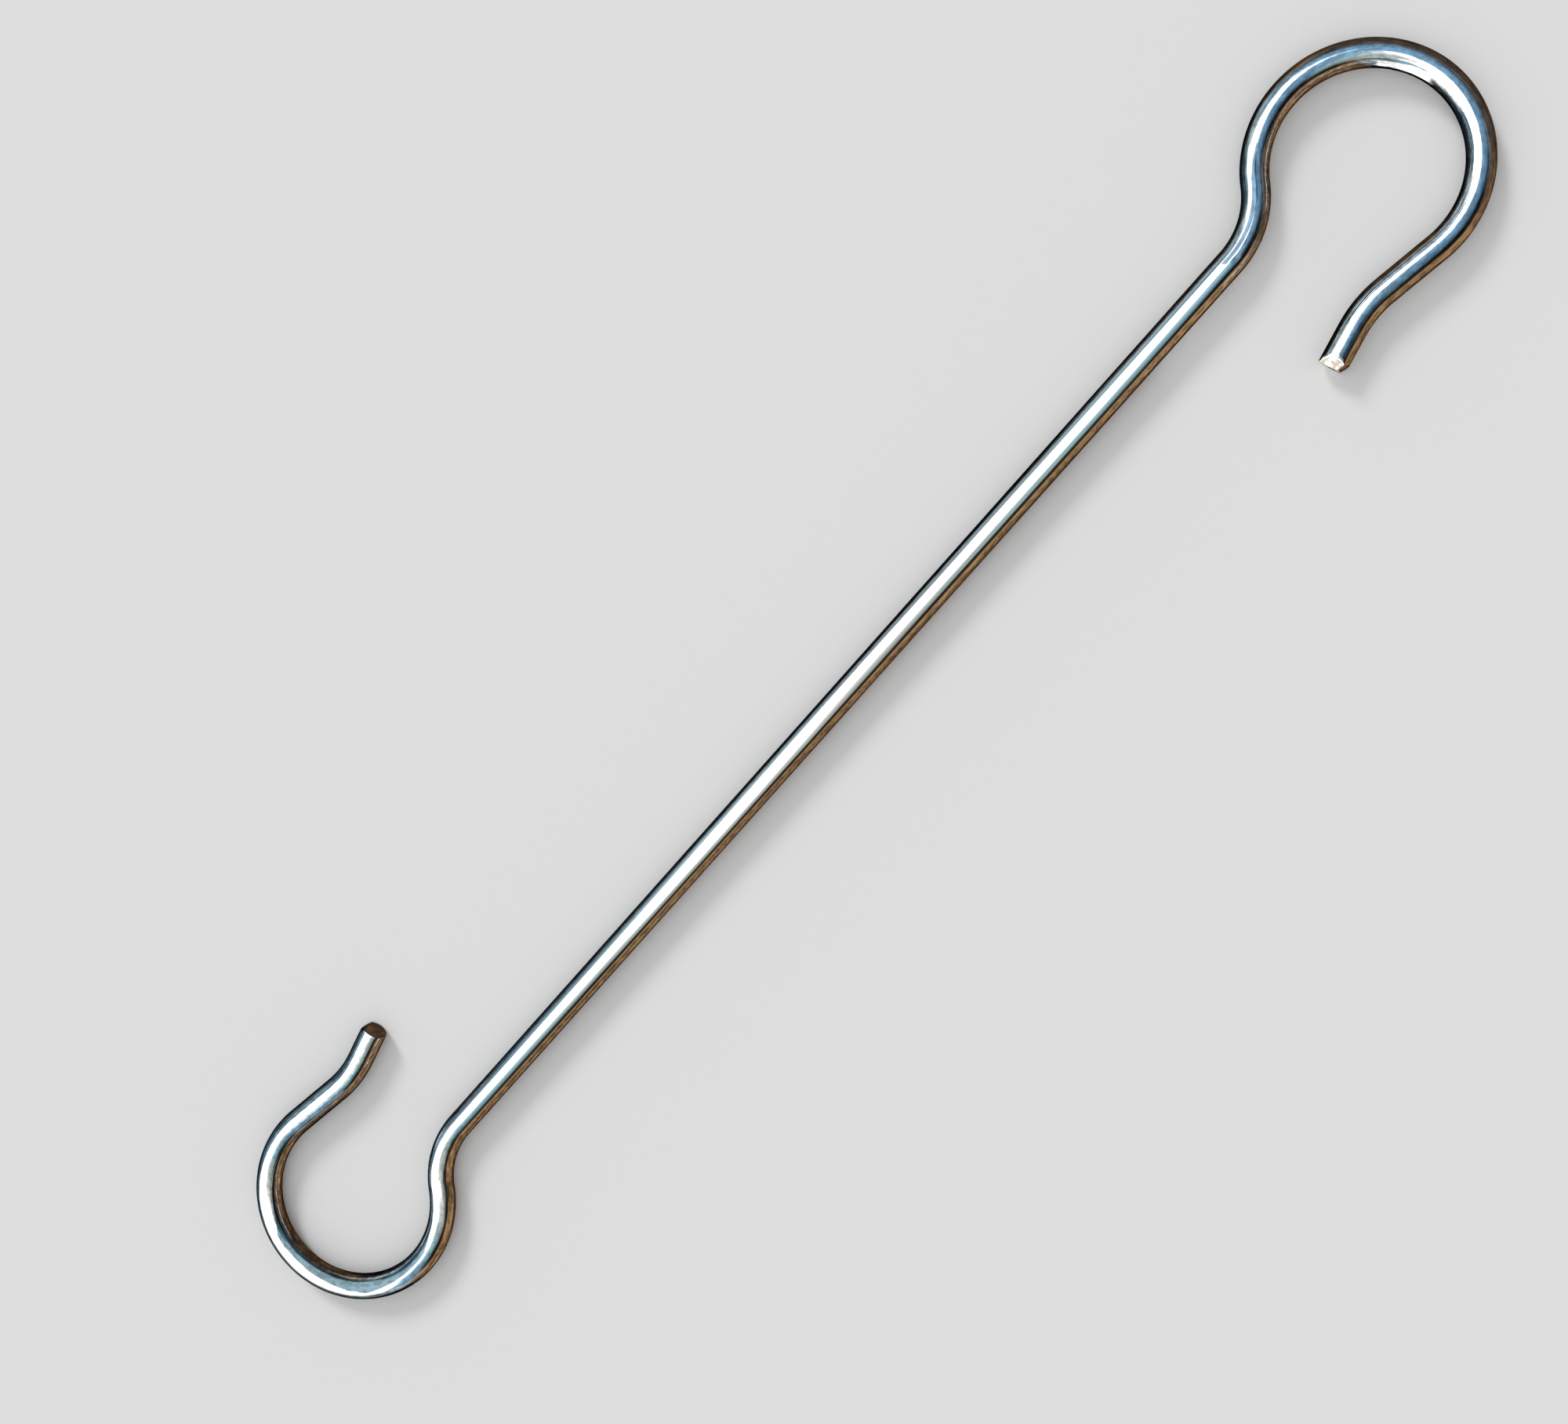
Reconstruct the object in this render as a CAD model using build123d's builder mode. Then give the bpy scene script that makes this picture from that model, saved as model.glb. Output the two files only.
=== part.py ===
"""Long S hook, bent from one length of round wire.

A straight shank carries the same bent hook on each end. One hook opens to the right of the
shank and the other to the left, so half a turn about the shank's middle brings the hook back
onto itself. The hook lies flat: its bends are all in one level plane, and the wire's underside
is at height zero. The origin is under the shank's middle, with +Y along the shank.
"""

import os

from build123d import *

# Wire stock, in millimetres
wire_diameter = 3.0
rim_rounding = 0.25

# Straight runs between the bends, from the shank out to the cut
shank_run = 128.5
lip_run = 6.5
tip_run = 4.3

# Bends, each made round a pin: its radius in millimetres and its turn in degrees
neck_pin_radius = 8.0
neck_turn = 50.0
loop_pin_radius = 9.5
loop_turn = 238.5
tip_pin_radius = 10.7
tip_turn = 23.0

# The wire's centreline keeps one wire radius away from a pin, and from the surface it lies on
wire_radius = wire_diameter / 2
neck_bend_radius = neck_pin_radius + wire_radius
loop_bend_radius = loop_pin_radius + wire_radius
tip_bend_radius = tip_pin_radius + wire_radius


def bend_end(shank_end, heading):
    """Draw one hook from an end of the shank: the neck turns left, the loop right, the tip left."""
    neck = JernArc(shank_end, heading, neck_bend_radius, neck_turn)
    loop = JernArc(neck @ 1, neck % 1, loop_bend_radius, -loop_turn)
    lip = Line(loop @ 1, loop @ 1 + (loop % 1) * lip_run)
    tip = JernArc(lip @ 1, lip % 1, tip_bend_radius, tip_turn)
    return Line(tip @ 1, tip @ 1 + (tip % 1) * tip_run)


with BuildPart() as s_hook:
    with BuildLine() as centreline:
        shank = Line((0, -shank_run / 2, wire_radius), (0, shank_run / 2, wire_radius))
        upper_end = bend_end(shank @ 1, shank % 1)
        lower_end = bend_end(shank @ 0, -(shank % 0))

    with BuildSketch(Plane(origin=upper_end @ 1, z_dir=upper_end % 1)) as wire_section:
        Circle(wire_radius)

    sweep(path=centreline.wires()[0])

    # Each end is cut square, and its rim is slightly rounded
    cut_faces = s_hook.faces().filter_by(GeomType.PLANE)
    fillet(cut_faces.edges(), rim_rounding)

s_hook.part.label = "s_hook"

os.makedirs("parts", exist_ok=True)
export_step(s_hook.part, "parts/s_hook.step")

wire_length = centreline.wires()[0].length
size = s_hook.part.bounding_box().size
print(f"wire length {wire_length:.2f} mm, volume {s_hook.part.volume:.2f} mm3")
print(f"size {size.X:.2f} x {size.Y:.2f} x {size.Z:.2f} mm")
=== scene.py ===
# %% [markdown]
# # A long S hook in bright wire
#
# The hook is one length of round steel wire, drawn bright, cut, and bent flat by a wire former.
# A straight shank carries the same open loop on each end, and half a turn brings one loop onto
# the other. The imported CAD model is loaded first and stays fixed: it gives the hook's real size
# and place, in metres, and everything below is made around it.

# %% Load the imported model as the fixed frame
import math

import bmesh
import bpy
import numpy as np
from mathutils import Matrix, Vector


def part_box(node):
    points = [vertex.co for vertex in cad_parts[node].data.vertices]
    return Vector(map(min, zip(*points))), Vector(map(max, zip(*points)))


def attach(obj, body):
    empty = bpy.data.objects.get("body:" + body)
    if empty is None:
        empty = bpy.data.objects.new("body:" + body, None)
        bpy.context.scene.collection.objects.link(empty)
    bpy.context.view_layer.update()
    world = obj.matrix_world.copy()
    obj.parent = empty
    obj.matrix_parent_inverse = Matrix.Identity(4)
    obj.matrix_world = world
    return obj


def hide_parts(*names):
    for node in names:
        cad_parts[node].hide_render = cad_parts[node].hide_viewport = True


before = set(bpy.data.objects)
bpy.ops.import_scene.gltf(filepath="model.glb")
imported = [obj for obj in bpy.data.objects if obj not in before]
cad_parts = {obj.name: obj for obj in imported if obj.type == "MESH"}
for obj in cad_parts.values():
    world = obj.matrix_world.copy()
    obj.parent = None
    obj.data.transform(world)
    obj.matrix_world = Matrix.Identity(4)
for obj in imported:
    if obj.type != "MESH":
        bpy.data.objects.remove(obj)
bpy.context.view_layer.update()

hook_low, hook_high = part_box("s_hook")
print("CAD hook, in metres:", [round(side, 5) for side in hook_high - hook_low])

# %% [markdown]
# ## The camera
#
# The photograph looks almost straight down on the hook, from about one hook's length away, so it
# shows a little perspective: the near loop is larger than the far one. A camera can be placed by
# eye, but here its place and turn were worked out by laying the hook's centreline over the
# photograph, which fixes the outline before any finish is judged.

# %% Place the camera
camera_place = (0.01922, 0.04182, 0.21083)
camera_turn = [math.radians(angle) for angle in (-4.70, 12.49, 41.72)]
camera_lens = 45.0
camera_sensor = 36.0

bpy.ops.object.select_all(action="DESELECT")
bpy.ops.object.camera_add(location=camera_place, rotation=camera_turn)
camera = bpy.context.object
camera.name = "photo_camera"
camera.data.lens = camera_lens
camera.data.sensor_width = camera_sensor
camera.data.clip_start = 0.005
bpy.context.scene.camera = camera
print("camera", [round(part, 3) for part in camera_place], "lens", camera_lens, "mm")

# %% [markdown]
# ## The wire and its bend program
#
# A wire former knows two moves: it feeds the wire straight, and it turns the wire round a pin.
# The whole hook is such a list of moves. In Blender the same two moves are Extrude and Spin on a
# ring of edges, so the piece is modelled the way the real one is bent. A curve with a round bevel
# would be quicker, but its rings would not sit exactly where the straight runs meet the arcs, and
# a mirror finish shows every such fault.

# %% The sizes of the wire, in metres
wire_diameter = 0.0030
wire_radius = wire_diameter / 2

shank_run = 0.1285
lip_run = 0.0065
tip_run = 0.0043
neck_bend_radius, neck_turn = 0.0095, math.radians(50.0)
loop_bend_radius, loop_turn = 0.0110, math.radians(238.5)
tip_bend_radius, tip_turn = 0.0122, math.radians(23.0)
rim_rounding = 0.00025

# How finely the mesh is divided: the sides of a ring, and the steps along straight runs, under the
# former's jaws, round the bends and at the cuts
ring_sides = 64
ring_spacing = 0.0025
jaw_spacing = 0.0003
jaw_zone = 0.0045
ring_turn = math.radians(2.0)
cut_zone, cut_spacing, cut_step = 0.0012, 0.0002, 0.0004
print("wire", wire_diameter, "m, and", round(hook_high.z - hook_low.z, 6), "in the CAD mesh of flat facets")

# %% Start with one ring of edges round the middle of the shank
bpy.ops.object.select_all(action="DESELECT")
bpy.ops.mesh.primitive_circle_add(
    vertices=ring_sides, radius=wire_radius, location=(0, 0, wire_radius), rotation=(math.pi / 2, 0, 0)
)
hook_wire = bpy.context.object
hook_wire.name = "hook_wire"
bpy.ops.object.transform_apply(location=True, rotation=True, scale=True)
bpy.ops.object.mode_set(mode="EDIT")
bpy.ops.mesh.select_all(action="SELECT")


# %% The wire former's two moves
moves = []


def feed(place, heading, length, spacing=ring_spacing):
    """Push the open end of the wire straight on, and leave a ring at each step."""
    steps = max(1, round(length / spacing))
    step = Vector((math.cos(heading), math.sin(heading), 0)) * (length / steps)
    moves.append((place, heading, 0, length))
    for _ in range(steps):
        bpy.ops.mesh.extrude_region_move(TRANSFORM_OT_translate={"value": step})
    return place + step * steps, heading


def bend(place, heading, radius, turn):
    """Turn the open end of the wire round a pin. A left turn is positive here, and negative to Spin."""
    to_pin = Vector((-math.sin(heading), math.cos(heading), 0)) * math.copysign(radius, turn)
    pin = place + to_pin
    moves.append((place, heading, math.copysign(radius, turn), radius * abs(turn)))
    bpy.ops.mesh.spin(steps=round(abs(turn) / ring_turn), angle=-turn, center=pin, axis=(0, 0, 1))
    return pin - Matrix.Rotation(turn, 3, "Z") @ to_pin, heading + turn


def open_end():
    """Where the selected ring really is: the middle of its corners."""
    corners = [v.co.copy() for v in bmesh.from_edit_mesh(hook_wire.data).verts if v.select]
    return sum(corners, Vector()) / len(corners)


# %% Run the bend program for one end
place, heading = Vector((0, 0, wire_radius)), math.pi / 2
place, heading = feed(place, heading, shank_run / 2 - jaw_zone)
place, heading = feed(place, heading, jaw_zone, jaw_spacing)
place, heading = bend(place, heading, neck_bend_radius, neck_turn)
place, heading = bend(place, heading, loop_bend_radius, -loop_turn)
place, heading = feed(place, heading, lip_run)
place, heading = bend(place, heading, tip_bend_radius, tip_turn)
place, heading = feed(place, heading, tip_run - cut_zone - cut_step)
place, heading = feed(place, heading, cut_zone, cut_spacing)
place, heading = feed(place, heading, cut_step)
print("the cut should be at", place, "and the last ring is at", open_end())

# %% [markdown]
# ## The second half
#
# The lower hook is the upper one turned half a turn about the middle of the shank. It could be run
# as a second program, but a turned copy can't drift from the first. Where the two halves meet, the
# doubled corners are merged, and then the faces are all made to point outwards, because Spin can
# leave them turned inside out.

# %% Turn a copy of the half and weld it on
weld_distance = 0.00001

bpy.ops.mesh.select_all(action="SELECT")
bpy.ops.mesh.duplicate()
bpy.ops.transform.rotate(value=math.pi, orient_axis="Z", center_override=(0, 0, 0))
bpy.ops.mesh.select_all(action="SELECT")
bpy.ops.mesh.remove_doubles(threshold=weld_distance)
bpy.ops.mesh.normals_make_consistent(inside=False)
print("rings welded:", len(bmesh.from_edit_mesh(hook_wire.data).verts) // ring_sides)

# %% [markdown]
# ## The cut ends
#
# The wire was snipped off by a cutter, not sawn. Each cut is a flat face with a slightly rounded rim,
# and parts of it lean back where the blades squeezed the metal before it broke. The rim is a Bevel of
# the face's edges. A few insets then give the face rings of its own, so that it can lean back in
# facets when its corners are moved.

# %% Close each end and round its rim
rim_segments = 5
face_insets = 5
face_inset = 0.00021


def select_rim(end):
    """Select the open ring of edges at one end: 1 is the upper end and -1 the lower."""
    bpy.ops.mesh.select_mode(type="EDGE")
    bpy.ops.mesh.select_all(action="DESELECT")
    net = bmesh.from_edit_mesh(hook_wire.data)
    for edge in net.edges:
        edge.select_set(edge.is_boundary and edge.verts[0].co.y * end > 0)
    bmesh.update_edit_mesh(hook_wire.data)


def select_cut_face(end):
    """Select the one face at an end that has as many corners as the wire has sides."""
    bpy.ops.mesh.select_mode(type="FACE")
    bpy.ops.mesh.select_all(action="DESELECT")
    net = bmesh.from_edit_mesh(hook_wire.data)
    for face in net.faces:
        face.select_set(len(face.verts) == ring_sides and face.calc_center_median().y * end > 0)
    bmesh.update_edit_mesh(hook_wire.data)


for end in (1, -1):
    select_rim(end)
    bpy.ops.mesh.edge_face_add()
    bpy.ops.mesh.bevel(offset=rim_rounding, segments=rim_segments, affect="EDGES")
    for _ in range(face_insets):
        select_cut_face(end)
        bpy.ops.mesh.inset(thickness=face_inset)
    select_cut_face(end)
    bpy.ops.mesh.poke()
bpy.ops.object.mode_set(mode="OBJECT")
print("faces after closing the ends:", len(hook_wire.data.polygons))

# %% [markdown]
# ## Straightening the wire again, on paper
#
# Draw lines, bending marks and the lean of the cuts all belong to the wire itself: the lines ran
# straight along it before it was bent. So each corner of the mesh is taken back to the straight
# wire, by undoing the moves, and gets three numbers: how far along it is, and how far across and up
# from the middle. An unwrapped UV map could hold the same, but it would have a seam.

# %% Undo the moves for every corner
def unbend(points):
    """Give along, across and up, and how squarely a point faces the pin that bent it (0 to 1)."""
    half = np.where(points[:, 1] < 0, -1.0, 1.0)
    flat = points[:, :2] * half[:, None]
    best = np.full(len(points), np.inf)
    along, across, pressed = np.zeros((3, len(points)))
    run_so_far = 0.0
    for corner, heading, radius, length in moves:
        ahead = np.array([math.cos(heading), math.sin(heading)])
        left = np.array([-math.sin(heading), math.cos(heading)])
        offset = flat - np.array(corner)[:2]
        if radius == 0:
            run, aside, inner = offset @ ahead, offset @ left, np.zeros(len(points))
        else:
            turn_side = math.copysign(1, radius)
            from_pin = offset - radius * left
            spare = math.pi - length / abs(radius) / 2
            angle = np.arctan2(from_pin @ ahead, -turn_side * (from_pin @ left))
            run = abs(radius) * (np.mod(angle + spare, 2 * math.pi) - spare)
            aside = turn_side * (abs(radius) - np.hypot(*from_pin.T))
            inner = np.clip(turn_side * aside / wire_radius, 0, 1)
        miss = np.abs(run - np.clip(run, 0, length)) + np.maximum(np.abs(aside) - wire_diameter, 0)
        nearer = miss < best - weld_distance
        best[nearer] = miss[nearer]
        along[nearer], across[nearer] = run_so_far + run[nearer], aside[nearer]
        pressed[nearer] = inner[nearer]
        run_so_far += length
    return along * half, across * half, points[:, 2] - wire_radius, pressed


corners = np.zeros(len(hook_wire.data.vertices) * 3)
hook_wire.data.vertices.foreach_get("co", corners)
corners = corners.reshape(-1, 3)
along, across, up, pressed = unbend(corners)
wire_length = along.max() - along.min()
print("the straightened wire is", round(wire_length * 1000, 2), "mm long and reaches",
      round(np.hypot(across, up).max() * 1000, 3), "mm from its middle")

# %% [markdown]
# ## The lean of the cuts
#
# A square face is what a saw leaves. The cutter's blades squeeze the wire before it breaks, so each
# cut has facets that lean back. A Boolean with a turned block could slice them off, but it would
# leave long thin faces on the rounded rim. Here the corners near a cut are pulled back along the tip,
# the more the farther out they lie, and the pull fades out up the wire.

# %% Lean parts of the cut faces back
# Each facet of a cut: its side as shares across and up, how far from the middle it starts, its slope
cut_facets = {
    1: (((0.0, 1.0), 0.00042, 1.0), ((0.95, 0.31), 0.00065, 1.0)),
    -1: (((0.30, 0.95), -0.0015, 0.17), ((-0.95, 0.31), 0.00060, 0.9)),
}
facet_reach = 0.0026

tip_ahead = np.array([math.cos(heading), math.sin(heading)])
for end, facets in cut_facets.items():
    near_cut = np.clip(1 - np.abs(along - end * wire_length / 2) / facet_reach, 0, 1)
    pull = np.zeros(len(corners))
    for (across_share, up_share), facet_start, slope in facets:
        pull = np.maximum(pull, slope * (across * across_share + up * up_share - facet_start))
    corners[:, :2] -= np.outer(end * pull * near_cut, tip_ahead)
    print("cut", end, "leans back by", round((pull * near_cut).max() * 1000, 3), "mm at most")

# %% [markdown]
# ## Marks of the bending
#
# The former's jaws grip the wire where the shank ends, and its pins press on the inside of each
# bend. They leave small dents, which are hardly deep enough to feel, but a mirror finish shows them
# as glints. Each is pressed into the mesh at its place along and across the wire, with a soft edge.

# %% Press the marks in
# Each mark: along, across as a share of the radius, half its length, half its width, depth
marks = {
    "jaw_nick": (-0.0628, 0.88, 0.00075, 0.00050, 0.00016),
    "jaw_dent": (0.0647, -0.25, 0.00060, 0.00035, 0.00004),
    "lip_dent": (-0.1252, 0.66, 0.00060, 0.00035, 0.00006),
    "pin_scuff_long": (-0.1013, -0.12, 0.00160, 0.00030, 0.00003),
    "pin_scuff_short": (-0.0915, 0.12, 0.00080, 0.00030, 0.00003),
    "pin_scuff_side": (-0.0947, 0.42, 0.00070, 0.00030, 0.00003),
    "loop_dent": (0.1040, -0.93, 0.00080, 0.00040, 0.00006),
}

normals = np.zeros(len(corners) * 3)
hook_wire.data.vertices.foreach_get("normal", normals)
normals = normals.reshape(-1, 3)
around = np.arctan2(across, up)
for name, (mark_along, mark_across, half_length, half_width, depth) in marks.items():
    turned = (around - math.asin(mark_across) + math.pi) % (2 * math.pi) - math.pi
    apart = ((along - mark_along) / half_length) ** 2 + (turned * wire_radius / half_width) ** 2
    falloff = np.clip(1 - apart, 0, 1) ** 2
    corners -= normals * (falloff * depth)[:, None]
    print(name, "touches", int((falloff > 0).sum()), "corners")
hook_wire.data.vertices.foreach_set("co", corners.ravel())
hook_wire.data.update()

# %% [markdown]
# ## The map stays on the mesh
#
# The three numbers are kept as an attribute of the mesh, like a map that was drawn on the wire before
# bending, and so is how squarely each place faced a pin. The finish reads both. Smooth shading hides
# the flat sides of the rings, the wire is hung under the hook's one body, and the CAD hook is hidden.

# %% Keep the straight wire's map on the mesh, and shade it smooth
wire_map = hook_wire.data.attributes.new("drawn_wire", "FLOAT_VECTOR", "POINT")
wire_map.data.foreach_set("vector", np.stack([across, up, along], 1).astype(np.float32).ravel())
pin_rub = hook_wire.data.attributes.new("pin_rub", "FLOAT", "POINT")
pin_rub.data.foreach_set("value", (pressed**2).astype(np.float32))

bpy.ops.object.select_all(action="DESELECT")
hook_wire.select_set(True)
bpy.context.view_layer.objects.active = hook_wire
bpy.ops.object.shade_smooth()
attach(hook_wire, "root")
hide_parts("s_hook")
print("hook wire:", len(hook_wire.data.vertices), "corners")

# %% [markdown]
# ## Fine lines, for more than one finish
#
# Metal that was pushed through or past a tool keeps fine parallel lines. On the wire they come from
# the drawing die and run along it, and on the cut faces they come from the cutter's blades and run
# across. One node group draws them: it takes a place, already stretched along the lines, and gives
# a height for bump and a mask of the deeper scratches.

# %% Build the node group
def steps_of(tree):
    """A short way to add a Math node: step("ADD", a, b) takes sockets or numbers and gives a socket."""
    def step(operation, first, second=0.0):
        made = tree.nodes.new("ShaderNodeMath")
        made.operation = operation
        for socket, value in zip(made.inputs, (first, second)):
            if isinstance(value, bpy.types.NodeSocket):
                tree.links.new(value, socket)
            else:
                socket.default_value = value
        return made.outputs[0]
    return step


def noise(tree, place, scale, detail=2.0, roughness=0.5):
    """Add a noise texture read at a place, and give its value."""
    made = tree.nodes.new("ShaderNodeTexNoise")
    made.inputs["Scale"].default_value = scale
    made.inputs["Detail"].default_value = detail
    made.inputs["Roughness"].default_value = roughness
    tree.links.new(place, made.inputs["Vector"])
    return made.outputs["Fac"]


def spread(tree, value, low, high, to_low=0.0, to_high=1.0):
    """Stretch a value from one range to another, and hold it inside."""
    made = tree.nodes.new("ShaderNodeMapRange")
    for name, number in (("From Min", low), ("From Max", high), ("To Min", to_low), ("To Max", to_high)):
        made.inputs[name].default_value = number
    tree.links.new(value, made.inputs["Value"])
    return made.outputs["Result"]


# The scale of the broad lines and of the scratches beside the fine lines, and which of them are deep
broad_scale, scratch_scale = 0.37, 0.61
deep_scratches = (0.66, 0.74)


def make_fine_lines():
    group = bpy.data.node_groups.new("fine_lines", "ShaderNodeTree")
    group.interface.new_socket("Place", in_out="INPUT", socket_type="NodeSocketVector")
    group.interface.new_socket("Height", in_out="OUTPUT", socket_type="NodeSocketFloat")
    group.interface.new_socket("Scratches", in_out="OUTPUT", socket_type="NodeSocketFloat")
    entry = group.nodes.new("NodeGroupInput").outputs["Place"]
    leave = group.nodes.new("NodeGroupOutput")
    step = steps_of(group)
    fine = noise(group, entry, 1.0, detail=3.0)
    broad = noise(group, entry, broad_scale, detail=1.0)
    scratches = spread(group, noise(group, entry, scratch_scale, detail=0.0), *deep_scratches)
    height = step("SUBTRACT", step("ADD", fine, broad), scratches)
    group.links.new(height, leave.inputs["Height"])
    group.links.new(scratches, leave.inputs["Scratches"])
    return group


fine_lines = make_fine_lines()
print("node group:", fine_lines.name, "with", len(fine_lines.nodes), "nodes")

# %% [markdown]
# ## The bright wire
#
# The finish is bare bright metal, close to a mirror. What shows on it is mostly the room around it,
# but a perfect mirror looks like a computer's. The real wire has faint draw lines, a thin haze that
# comes and goes along its length, fine dark pits on its flanks and bends, and a duller rub on the
# inside of each bend. The lines and pits shape the normal, the haze, the rub and the deeper scratches
# set the roughness, and the haze, the rub and the pits darken the colour. One noise for everything
# would be quicker, but each of these has its own size and place on the wire, so each gets its own.

# %% Helpers for the finishes
def new_material(name):
    """A material with an empty Principled shader, its node tree and that shader."""
    made = bpy.data.materials.new(name)
    made.use_nodes = True
    return made, made.node_tree, made.node_tree.nodes["Principled BSDF"]


def straight_place(tree):
    """The place on the straight wire, read from the mesh: across, up and along."""
    made = tree.nodes.new("ShaderNodeAttribute")
    made.attribute_name = "drawn_wire"
    return made.outputs["Vector"]


def stretched_map(tree, across_size, along_size):
    """The straight wire's map, divided by the size of the pattern across and along the wire."""
    mapping = tree.nodes.new("ShaderNodeMapping")
    mapping.inputs["Scale"].default_value = (1 / across_size, 1 / across_size, 1 / along_size)
    tree.links.new(straight_place(tree), mapping.inputs["Vector"])
    return mapping.outputs["Vector"]


def lines_on(tree, size):
    """Place the fine lines in a material, at their size across and along the wire."""
    made = tree.nodes.new("ShaderNodeGroup")
    made.node_tree = fine_lines
    tree.links.new(stretched_map(tree, *size), made.inputs["Place"])
    return made.outputs


def blended(tree, factor, first, second, way="MIX"):
    """Blend two colours. They and the factor are sockets, or plain values."""
    made = tree.nodes.new("ShaderNodeMix")
    made.data_type, made.blend_type = "RGBA", way
    for name, value in (("Factor", factor), ("A", first), ("B", second)):
        if isinstance(value, bpy.types.NodeSocket):
            tree.links.new(value, made.inputs[name])
        elif name == "Factor":
            made.inputs[name].default_value = value
        else:
            made.inputs[name].default_value = (*value, 1)
    return made.outputs["Result"]


def bump(tree, height, depth, shader):
    """Turn a height into a normal, with a depth in metres for a height of one."""
    made = tree.nodes.new("ShaderNodeBump")
    made.inputs["Distance"].default_value = depth
    tree.links.new(height, made.inputs["Height"])
    tree.links.new(made.outputs["Normal"], shader.inputs["Normal"])


# %% Make the bright wire
# The size of each pattern across and along the wire, in metres
draw_line_size = (0.00016, 0.018)
haze_size = (0.0024, 0.0060)
pit_size = (0.00045, 0.00090)
rub_size = (0.0006, 0.0009)
# The noise values at which each pattern starts, and at which it is full
haze_range, pit_range, rub_range = (0.38, 0.72), (0.42, 0.60), (0.40, 0.66)
# Pits start below the first height over the wire's middle, and are full below the second. On the
# bends they start and are full at these places along the wire, and are fainter
flank_range = (0.00130, 0.00095)
bend_range, bend_pitting = (0.0605, 0.0665), 0.6
clean_metal, dull_metal = (0.93, 0.935, 0.94), (0.46, 0.455, 0.44)
haze_dulling, rub_dulling = 0.15, 0.35
wire_roughness = 0.065
haze_roughness, rub_roughness, scratch_roughness = 0.04, 0.12, 0.06
# The depth of a draw line in metres, and of a pit as so many draw lines
draw_line_depth, pit_depth = 0.000005, 1.5


def make_bright_wire():
    material, tree, shader = new_material("bright_wire")
    shader.inputs["Metallic"].default_value = 1.0
    step = steps_of(tree)
    lines = lines_on(tree, draw_line_size)
    haze = spread(tree, noise(tree, stretched_map(tree, *haze_size), 1.0, detail=3.0), *haze_range)
    parts = tree.nodes.new("ShaderNodeSeparateXYZ")
    tree.links.new(straight_place(tree), parts.inputs["Vector"])
    flank = spread(tree, parts.outputs["Y"], *flank_range)
    bent = spread(tree, step("ABSOLUTE", parts.outputs["Z"]), *bend_range, 0.0, bend_pitting)
    pitted = step("MAXIMUM", flank, bent)
    pits = noise(tree, stretched_map(tree, *pit_size), 1.0, detail=2.0, roughness=0.6)
    dark_pits = step("MULTIPLY", spread(tree, pits, *pit_range), pitted)
    pits = step("MULTIPLY", pits, pitted)
    rub = tree.nodes.new("ShaderNodeAttribute")
    rub.attribute_name = "pin_rub"
    patches = spread(tree, noise(tree, stretched_map(tree, *rub_size), 1.0, detail=4.0), *rub_range)
    rubbed = step("MULTIPLY", rub.outputs["Fac"], patches)
    dull = step("ADD", step("MULTIPLY", haze, haze_dulling), step("MULTIPLY", rubbed, rub_dulling))
    dull = step("ADD", dull, dark_pits)
    tree.links.new(blended(tree, dull, clean_metal, dull_metal), shader.inputs["Base Color"])
    rough = step("ADD", step("MULTIPLY", haze, haze_roughness), step("MULTIPLY", rubbed, rub_roughness))
    rough = step("ADD", rough, step("MULTIPLY", lines["Scratches"], scratch_roughness))
    tree.links.new(step("ADD", rough, wire_roughness), shader.inputs["Roughness"])
    height = step("SUBTRACT", lines["Height"], step("MULTIPLY", pits, pit_depth))
    bump(tree, height, draw_line_depth, shader)
    return material


bright_wire = make_bright_wire()
print("bright wire:", len(bright_wire.node_tree.nodes), "nodes")

# %% [markdown]
# ## The cut faces
#
# A snipped face is brighter where the blades sheared the metal, and rougher where it tore. The brown
# of the torn parts is a painted reflection of a warm brown surface. It could share the wire's finish,
# but then it would mirror the room and not catch the eye as a raw cut does. So it gets a finish of its
# own, with the same fine lines turned across the wire.

# %% Make the sheared face
blade_line_size, tear_size = (0.00030, 0.00008), (0.0007, 0.0007)
tear_range = (0.43, 0.57)
# The sheared metal is the metal's own bright colour, and the torn metal's brown is a painted reflection
sheared_metal, torn_brown_painted_reflection = (0.90, 0.88, 0.81), (0.38, 0.33, 0.26)
sheared_roughness, tear_roughness = 0.20, 0.22
blade_line_depth = 0.000012


def make_sheared_face():
    material, tree, shader = new_material("sheared_face")
    shader.inputs["Metallic"].default_value = 1.0
    step = steps_of(tree)
    lines = lines_on(tree, blade_line_size)
    tear_and_brown_reflection = spread(tree, noise(tree, stretched_map(tree, *tear_size), 1.0, detail=5.0), *tear_range)
    # Where the metal tore, its rougher patches also get a painted brown reflection
    tree.links.new(blended(tree, tear_and_brown_reflection, sheared_metal, torn_brown_painted_reflection), shader.inputs["Base Color"])
    rough = step("ADD", step("MULTIPLY", tear_and_brown_reflection, tear_roughness), sheared_roughness)
    tree.links.new(rough, shader.inputs["Roughness"])
    bump(tree, step("ADD", lines["Height"], tear_and_brown_reflection), blade_line_depth, shader)
    return material


sheared_face = make_sheared_face()
print("sheared face:", len(sheared_face.node_tree.nodes), "nodes")

# %% Put each finish on its faces
cut_tolerance = 0.1 * rim_rounding

hook_wire.data.materials.clear()
for finish in (bright_wire, sheared_face):
    hook_wire.data.materials.append(finish)
for face in hook_wire.data.polygons:
    at_cut = all(abs(abs(along[corner]) - wire_length / 2) < cut_tolerance for corner in face.vertices)
    face.material_index = int(at_cut)
print("cut faces:", sum(face.material_index for face in hook_wire.data.polygons))

# %% [markdown]
# ## The floor and the light
#
# The hook lies on a plain pale floor. One soft light from the left throws a soft shadow to the
# right, and an even sky, made further down, fills it in. The floor and the light are hidden from
# mirror rays, because what the wire reflects is set by itself below.

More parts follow.
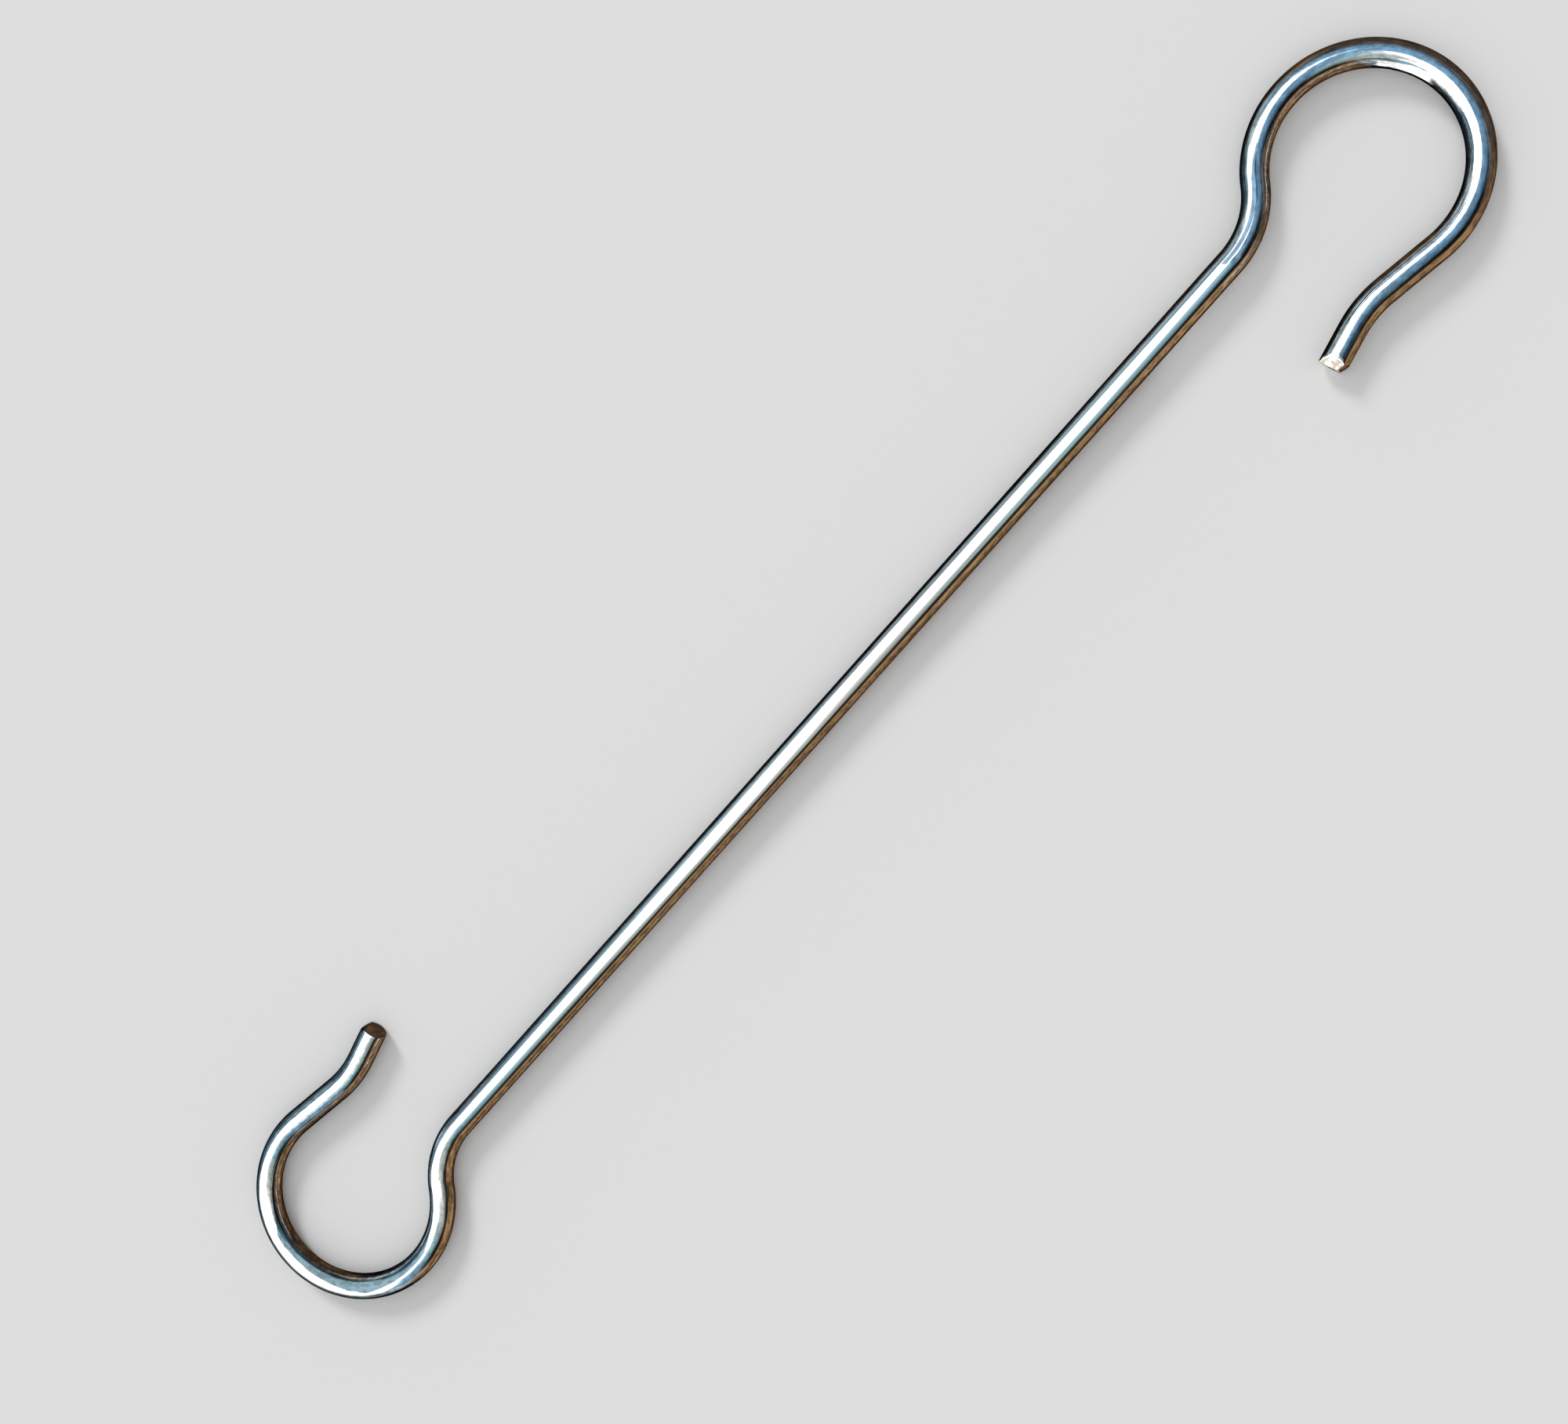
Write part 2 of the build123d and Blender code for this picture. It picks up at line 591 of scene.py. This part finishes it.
# %% Floor and key light
floor_size = 8.0
floor_colour = (0.78, 0.78, 0.78)
floor_roughness = 0.9
key_strength = 1.30
key_softness = math.radians(16)
key_turn = (0.0, math.radians(-58), math.radians(-18))

bpy.ops.object.select_all(action="DESELECT")
bpy.ops.mesh.primitive_plane_add(size=floor_size)
floor = bpy.context.object
floor.name = "floor"
floor_paint, _, floor_shader = new_material("pale_floor")
floor_shader.inputs["Base Color"].default_value = (*floor_colour, 1)
floor_shader.inputs["Roughness"].default_value = floor_roughness
floor_shader.inputs["Specular IOR Level"].default_value = 0.0
floor.data.materials.append(floor_paint)
floor.visible_glossy = False

bpy.ops.object.light_add(type="SUN", rotation=key_turn)
key = bpy.context.object
key.name = "soft_key"
key.data.energy = key_strength
key.data.angle = key_softness
key.visible_glossy = False
print("floor", floor_size, "m wide, and a key light of", key_strength, "W/m2")

# %% [markdown]
# ## What the wire reflects
#
# A mirror is only as good as the room around it. Photographers hang white, dark and coloured cards
# round bright metal, and this scene does the same. A long white panel hangs overhead on the left,
# with a halo that is blue towards both ends and nearly grey in the middle. Mirror rays alone see it,
# so it neither shows to the camera nor lights the floor. An area light could hang there instead, but
# its outline and halo couldn't be shaped.

# %% Helpers for the cards
def bare_material(name):
    """A material with nothing but its output, its node tree and the output's surface socket."""
    made = bpy.data.materials.new(name)
    made.use_nodes = True
    made.node_tree.nodes.clear()
    made.cycles.emission_sampling = "NONE"
    return made, made.node_tree, made.node_tree.nodes.new("ShaderNodeOutputMaterial").inputs["Surface"]


def ramp(tree, value, stops):
    """A colour ramp with stops of (place, colour)."""
    made = tree.nodes.new("ShaderNodeValToRGB")
    elements = made.color_ramp.elements
    while len(elements) < len(stops):
        elements.new(1.0)
    for element, (place, colour) in zip(elements, stops):
        element.position = place
        element.color = (*colour, 1)
    tree.links.new(value, made.inputs["Fac"])
    return made.outputs["Color"]


def along_ramp(tree, value, stops):
    """A colour ramp whose stops are given in the value's own units, not as shares."""
    first, last = stops[0][0], stops[-1][0]
    shares = [((place - first) / (last - first), colour) for place, colour in stops]
    return ramp(tree, spread(tree, value, first, last), shares)


def sides_and_middle(low, high):
    """The lengths of a rectangle's sides, and its middle, from its low and high corners."""
    return [b - a for a, b in zip(low, high)], [(a + b) / 2 for a, b in zip(low, high)]


def add_card(name, sides, middle, material, turn=(0, 0, 0)):
    """A flat card that mirror rays alone see."""
    bpy.ops.object.select_all(action="DESELECT")
    bpy.ops.mesh.primitive_plane_add(size=1.0, rotation=turn)
    made = bpy.context.object
    made.name = name
    made.scale = (*sides, 1)
    made.location = middle
    bpy.ops.object.transform_apply(location=True, rotation=True, scale=True)
    made.data.materials.append(material)
    made.visible_camera = made.visible_diffuse = made.visible_shadow = False
    made.visible_transmission = made.visible_volume_scatter = False
    return made


# %% The outline and the tints of the overhead panel
panel_low, panel_high = (-0.40, -6.0), (0.27, 0.27)
panel_height = 0.20
panel_axis = -0.15
panel_end = 0.13
panel_white = [2.0] * 3
# Far along the panel its white is dimmer, and changes over this stretch
far_white = [0.34, 0.38, 0.40]
far_fade = (-1.3, -0.5)
# Along the panel in metres, and how far its white reaches to the left and to the right of its axis
white_reach = (
    (-1.00, 0.30, 0.60), (-0.45, 0.12, 0.36), (-0.26, 0.055, 0.235), (-0.22, 0.06, 0.17),
    (-0.18, 0.06, 0.15), (-0.145, 0.08, 0.165), (-0.12, 0.14, 0.18), (-0.07, 0.24, 0.225),
    (-0.02, 0.12, 0.155), (0.05, 0.08, 0.175), (0.075, 0.05, 0.16), (0.10, 0.04, 0.11),
    (0.125, 0.03, 0.09),
)
edge_softness = 0.025
# How far the halo goes past the white, its brightness by shares of that, and where its tint is full
halo_reach = 0.27
halo_fade = ((0.0, 1.0), (0.10, 0.72), (0.28, 0.52), (0.50, 0.36), (0.75, 0.13), (0.92, 0.01), (1.0, 0.005))
tint_full = 0.03
# Along the panel again, and the tint of its halo there
halo_tints = (
    (-0.30, (0.34, 0.68, 1.0)), (-0.21, (0.38, 0.74, 1.0)), (-0.165, (0.54, 0.93, 1.0)),
    (-0.12, (0.92, 1.0, 0.95)), (-0.02, (0.97, 1.0, 0.94)), (0.035, (0.66, 0.98, 1.0)),
    (0.075, (0.50, 0.83, 1.0)), (0.10, (0.33, 0.66, 1.0)),
)


# %% Hang the overhead panel
def make_panel():
    """White inside its outline, and a tinted halo by the distance from that outline."""
    material, tree, surface = bare_material("overhead_panel")
    step = steps_of(tree)
    place = tree.nodes.new("ShaderNodeSeparateXYZ")
    tree.links.new(tree.nodes.new("ShaderNodeTexCoord").outputs["Object"], place.inputs["Vector"])
    x, y = place.outputs["X"], place.outputs["Y"]
    reach = tree.nodes.new("ShaderNodeSeparateColor")
    reaches = along_ramp(tree, y, [(at, (left, right, 0)) for at, left, right in white_reach])
    tree.links.new(reaches, reach.inputs["Color"])
    # Past the first stop, a metre away, the white goes on widening with the distance
    widening = step("MAXIMUM", step("MULTIPLY", y, -1.0), 1.0)
    left, right = (step("MULTIPLY", reach.outputs[side], widening) for side in ("Red", "Green"))
    aside = step("SUBTRACT", x, panel_axis)
    past_left = step("SUBTRACT", step("MULTIPLY", aside, -1.0), left)
    past_right = step("SUBTRACT", aside, right)
    beside = step("MAXIMUM", step("MAXIMUM", past_left, past_right), 0.0)
    beyond = step("MAXIMUM", step("SUBTRACT", y, panel_end), 0.0)
    away = step("SQRT", step("ADD", step("POWER", beside, 2.0), step("POWER", beyond, 2.0)))
    halo = ramp(tree, step("DIVIDE", away, halo_reach), [(at, [value] * 3) for at, value in halo_fade])
    tints = along_ramp(tree, y, halo_tints)
    halo = blended(tree, spread(tree, away, 0.0, tint_full), halo, tints, "MULTIPLY")
    white = blended(tree, spread(tree, y, *far_fade), far_white, panel_white)
    glow = tree.nodes.new("ShaderNodeEmission")
    core = spread(tree, away, edge_softness, 0.0)
    tree.links.new(blended(tree, core, halo, white), glow.inputs["Color"])
    tree.links.new(glow.outputs["Emission"], surface)
    return material


panel_sides, panel_middle = sides_and_middle(panel_low, panel_high)
panel = add_card("overhead_panel", panel_sides, (*panel_middle, panel_height), make_panel())
print("overhead panel, in metres:", [round(side, 3) for side in panel_sides])

# %% [markdown]
# The inside of the upper loop's top has a white glint that nothing overhead can give, because that side
# of the wire looks level and downwards. So a small white card stands before it, beside the shank. It
# glows on the side that faces the loop, and its back is clear, so that most of the shank doesn't show it.

# %% Stand a small card before the upper loop
card_low, card_high = (0.004, -0.035), (0.030, 0.012)
card_y = 0.050


def make_card():
    """White from the front, and clear from behind."""
    material, tree, surface = bare_material("small_card")
    glow = tree.nodes.new("ShaderNodeEmission")
    glow.inputs["Color"].default_value = (*panel_white, 1)
    clear = tree.nodes.new("ShaderNodeBsdfTransparent")
    one_sided = tree.nodes.new("ShaderNodeMixShader")
    back = tree.nodes.new("ShaderNodeNewGeometry").outputs["Backfacing"]
    for socket, value in zip(one_sided.inputs, (back, glow.outputs["Emission"], clear.outputs["BSDF"])):
        tree.links.new(value, socket)
    tree.links.new(one_sided.outputs["Shader"], surface)
    return material


card_sides, (card_x, card_z) = sides_and_middle(card_low, card_high)
facing_loop = (-math.pi / 2, 0, 0)
card = add_card("small_card", card_sides, (card_x, card_y, card_z), make_card(), facing_loop)
print("the card faces", [round(part, 3) for part in card.data.polygons[0].normal])

# %% [markdown]
# The overhead panel alone would make the inside of the lower loop and the upper neck as white as the
# shank. A photographer would hang small blue gels just over them. A gel is a clear sheet that dims and
# tints what is seen through it, and so near the hook it changes one bend and leaves the rest alone.

# %% Hang small gels over the bends
# Each gel: its low corner, its high corner, its height, and what it lets through
gels = {
    "lower_loop_gel": ((-0.0072, -0.0905), (0.0005, -0.0820), 0.006, (0.15, 0.23, 0.26)),
    "lower_side_gel": ((0.0005, -0.0906), (0.0062, -0.0800), 0.006, (0.17, 0.26, 0.31)),
    "upper_neck_gel": ((-0.0085, 0.0645), (-0.0020, 0.0755), 0.012, (0.18, 0.28, 0.37)),
}


def make_gel(name, tint):
    material, tree, surface = bare_material(name)
    clear = tree.nodes.new("ShaderNodeBsdfTransparent")
    clear.inputs["Color"].default_value = (*tint, 1)
    tree.links.new(clear.outputs["BSDF"], surface)
    return material


for name, (low, high, height, tint) in gels.items():
    gel_sides, gel_middle = sides_and_middle(low, high)
    gel = add_card(name, gel_sides, (*gel_middle, height), make_gel(name, tint))
    print(name, "in millimetres:", [round(side * 1000, 1) for side in gel_sides])

# %% [markdown]
# ## The room
#
# Past the panel the mirror sees the room itself: warm brown on the right, a dark end beyond the upper
# loop, grey on the left, blue behind, and dark where the wire meets what it lies on. Walls could be
# built for this, but the sky gives the same by direction alone. It answers three kinds of ray in three
# ways: the floor gets an even grey fill, the camera a plain backdrop, and the mirror the room.

# %% The colours of the room
sky_fill = 0.71
backdrop_grey = 0.716
warm_side = math.radians(60)
dark_side = math.radians(100)
blue_side = math.radians(-130)
# The sine of the elevation, and the colour there, on each side of the room
warm_colours = (
    (-1.0, (0.05, 0.02, 0.006)), (-0.88, (0.07, 0.03, 0.012)), (-0.72, (0.13, 0.07, 0.033)),
    (-0.45, (0.30, 0.178, 0.086)), (0.24, (0.30, 0.178, 0.086)), (0.34, (0.12, 0.07, 0.033)),
    (0.42, (0.010, 0.008, 0.006)), (1.0, (0.008, 0.008, 0.010)),
)
dark_colours = (
    (-1.0, (0.12, 0.06, 0.020)), (-0.80, (0.10, 0.05, 0.018)), (-0.55, (0.05, 0.032, 0.021)),
    (0.20, (0.06, 0.046, 0.038)), (0.45, (0.09, 0.085, 0.085)), (0.75, (0.15, 0.165, 0.19)),
    (1.0, (0.15, 0.17, 0.20)),
)
cool_colours = (
    (-1.0, (0.002, 0.002, 0.002)), (-0.45, (0.003, 0.004, 0.005)), (-0.20, (0.036, 0.042, 0.046)),
    (0.10, (0.28, 0.355, 0.395)), (0.50, (0.47, 0.60, 0.65)), (1.0, (0.47, 0.60, 0.65)),
)
blue_colours = (
    (-1.0, (0.001, 0.002, 0.004)), (-0.62, (0.003, 0.006, 0.010)), (-0.35, (0.015, 0.03, 0.045)),
    (0.0, (0.04, 0.07, 0.09)), (0.20, (0.14, 0.22, 0.28)), (0.40, (0.38, 0.58, 0.70)),
    (1.0, (0.42, 0.62, 0.72)),
)
# The sides that are laid over the cool room, in order, and how squarely a ray faces one where it
# starts and where it is full
room_sides = (
    (blue_side, blue_colours, (0.78, 0.97)), (warm_side, warm_colours, (-0.28, -0.05)),
    (dark_side, dark_colours, (0.17, 0.77)),
)
# The room is broken up by a coarse grain, which dims or brightens it
grain_scale = 3.5
grain_range, grain_strength = (0.35, 0.65), (0.40, 1.6)

# %% Helpers for the sky
sky = bpy.data.worlds.new("studio")
sky.use_nodes = True
bpy.context.scene.world = sky
sky_tree = sky.node_tree
sky_tree.nodes.clear()
sky_step = steps_of(sky_tree)
direction = sky_tree.nodes.new("ShaderNodeTexCoord").outputs["Generated"]
ray = sky_tree.nodes.new("ShaderNodeLightPath")


def towards(way):
    """How squarely a ray points one way: 1 straight there, 0 across and -1 away."""
    made = sky_tree.nodes.new("ShaderNodeVectorMath")
    made.operation = "DOT_PRODUCT"
    made.inputs[1].default_value = way
    sky_tree.links.new(direction, made.inputs[0])
    return made.outputs["Value"]


def sky_part(colour):
    """A background of a plain colour, or of one that changes with direction."""
    made = sky_tree.nodes.new("ShaderNodeBackground")
    if isinstance(colour, bpy.types.NodeSocket):
        sky_tree.links.new(colour, made.inputs["Color"])
    else:
        made.inputs["Color"].default_value = (*colour, 1)
    return made.outputs["Background"]


def choose(test, otherwise, chosen):
    """Use one background for the rays that pass a test, and the other for the rest."""
    made = sky_tree.nodes.new("ShaderNodeMixShader")
    for socket, value in zip(made.inputs, (test, otherwise, chosen)):
        sky_tree.links.new(value, socket)
    return made.outputs["Shader"]


# %% Paint the sky
above_zero = 0.0001


def make_room():
    """The colour that a mirror ray sees, by its direction."""
    rise = towards((0, 0, 1))
    level = sky_step("SUBTRACT", 1.0, sky_step("POWER", rise, 2.0))
    level = sky_step("SQRT", sky_step("MAXIMUM", level, above_zero))
    room = along_ramp(sky_tree, rise, cool_colours)
    for side, colours, edge in room_sides:
        facing = sky_step("DIVIDE", towards((math.cos(side), math.sin(side), 0)), level)
        room = blended(sky_tree, spread(sky_tree, facing, *edge), room, along_ramp(sky_tree, rise, colours))
    grain = noise(sky_tree, direction, grain_scale, detail=3.0, roughness=0.6)
    grain = spread(sky_tree, grain, *grain_range, *grain_strength)
    return blended(sky_tree, 1.0, room, grain, "MULTIPLY")


fill = choose(ray.outputs["Is Glossy Ray"], sky_part([sky_fill] * 3), sky_part(make_room()))
seen = choose(ray.outputs["Is Camera Ray"], fill, sky_part([backdrop_grey] * 3))
sky_tree.links.new(seen, sky_tree.nodes.new("ShaderNodeOutputWorld").inputs["Surface"])
print("sky:", len(sky_tree.nodes), "nodes")

# %% [markdown]
# ## Plain colours
#
# Blender's usual view softens bright tones, as film does. Bright wire needs clean whites, so the
# Standard view is used, which shows the colours as they are worked out.

# %% Plain colours, as a camera's picture has them
bpy.context.scene.view_settings.view_transform = "Standard"
print("view:", bpy.context.scene.view_settings.view_transform)
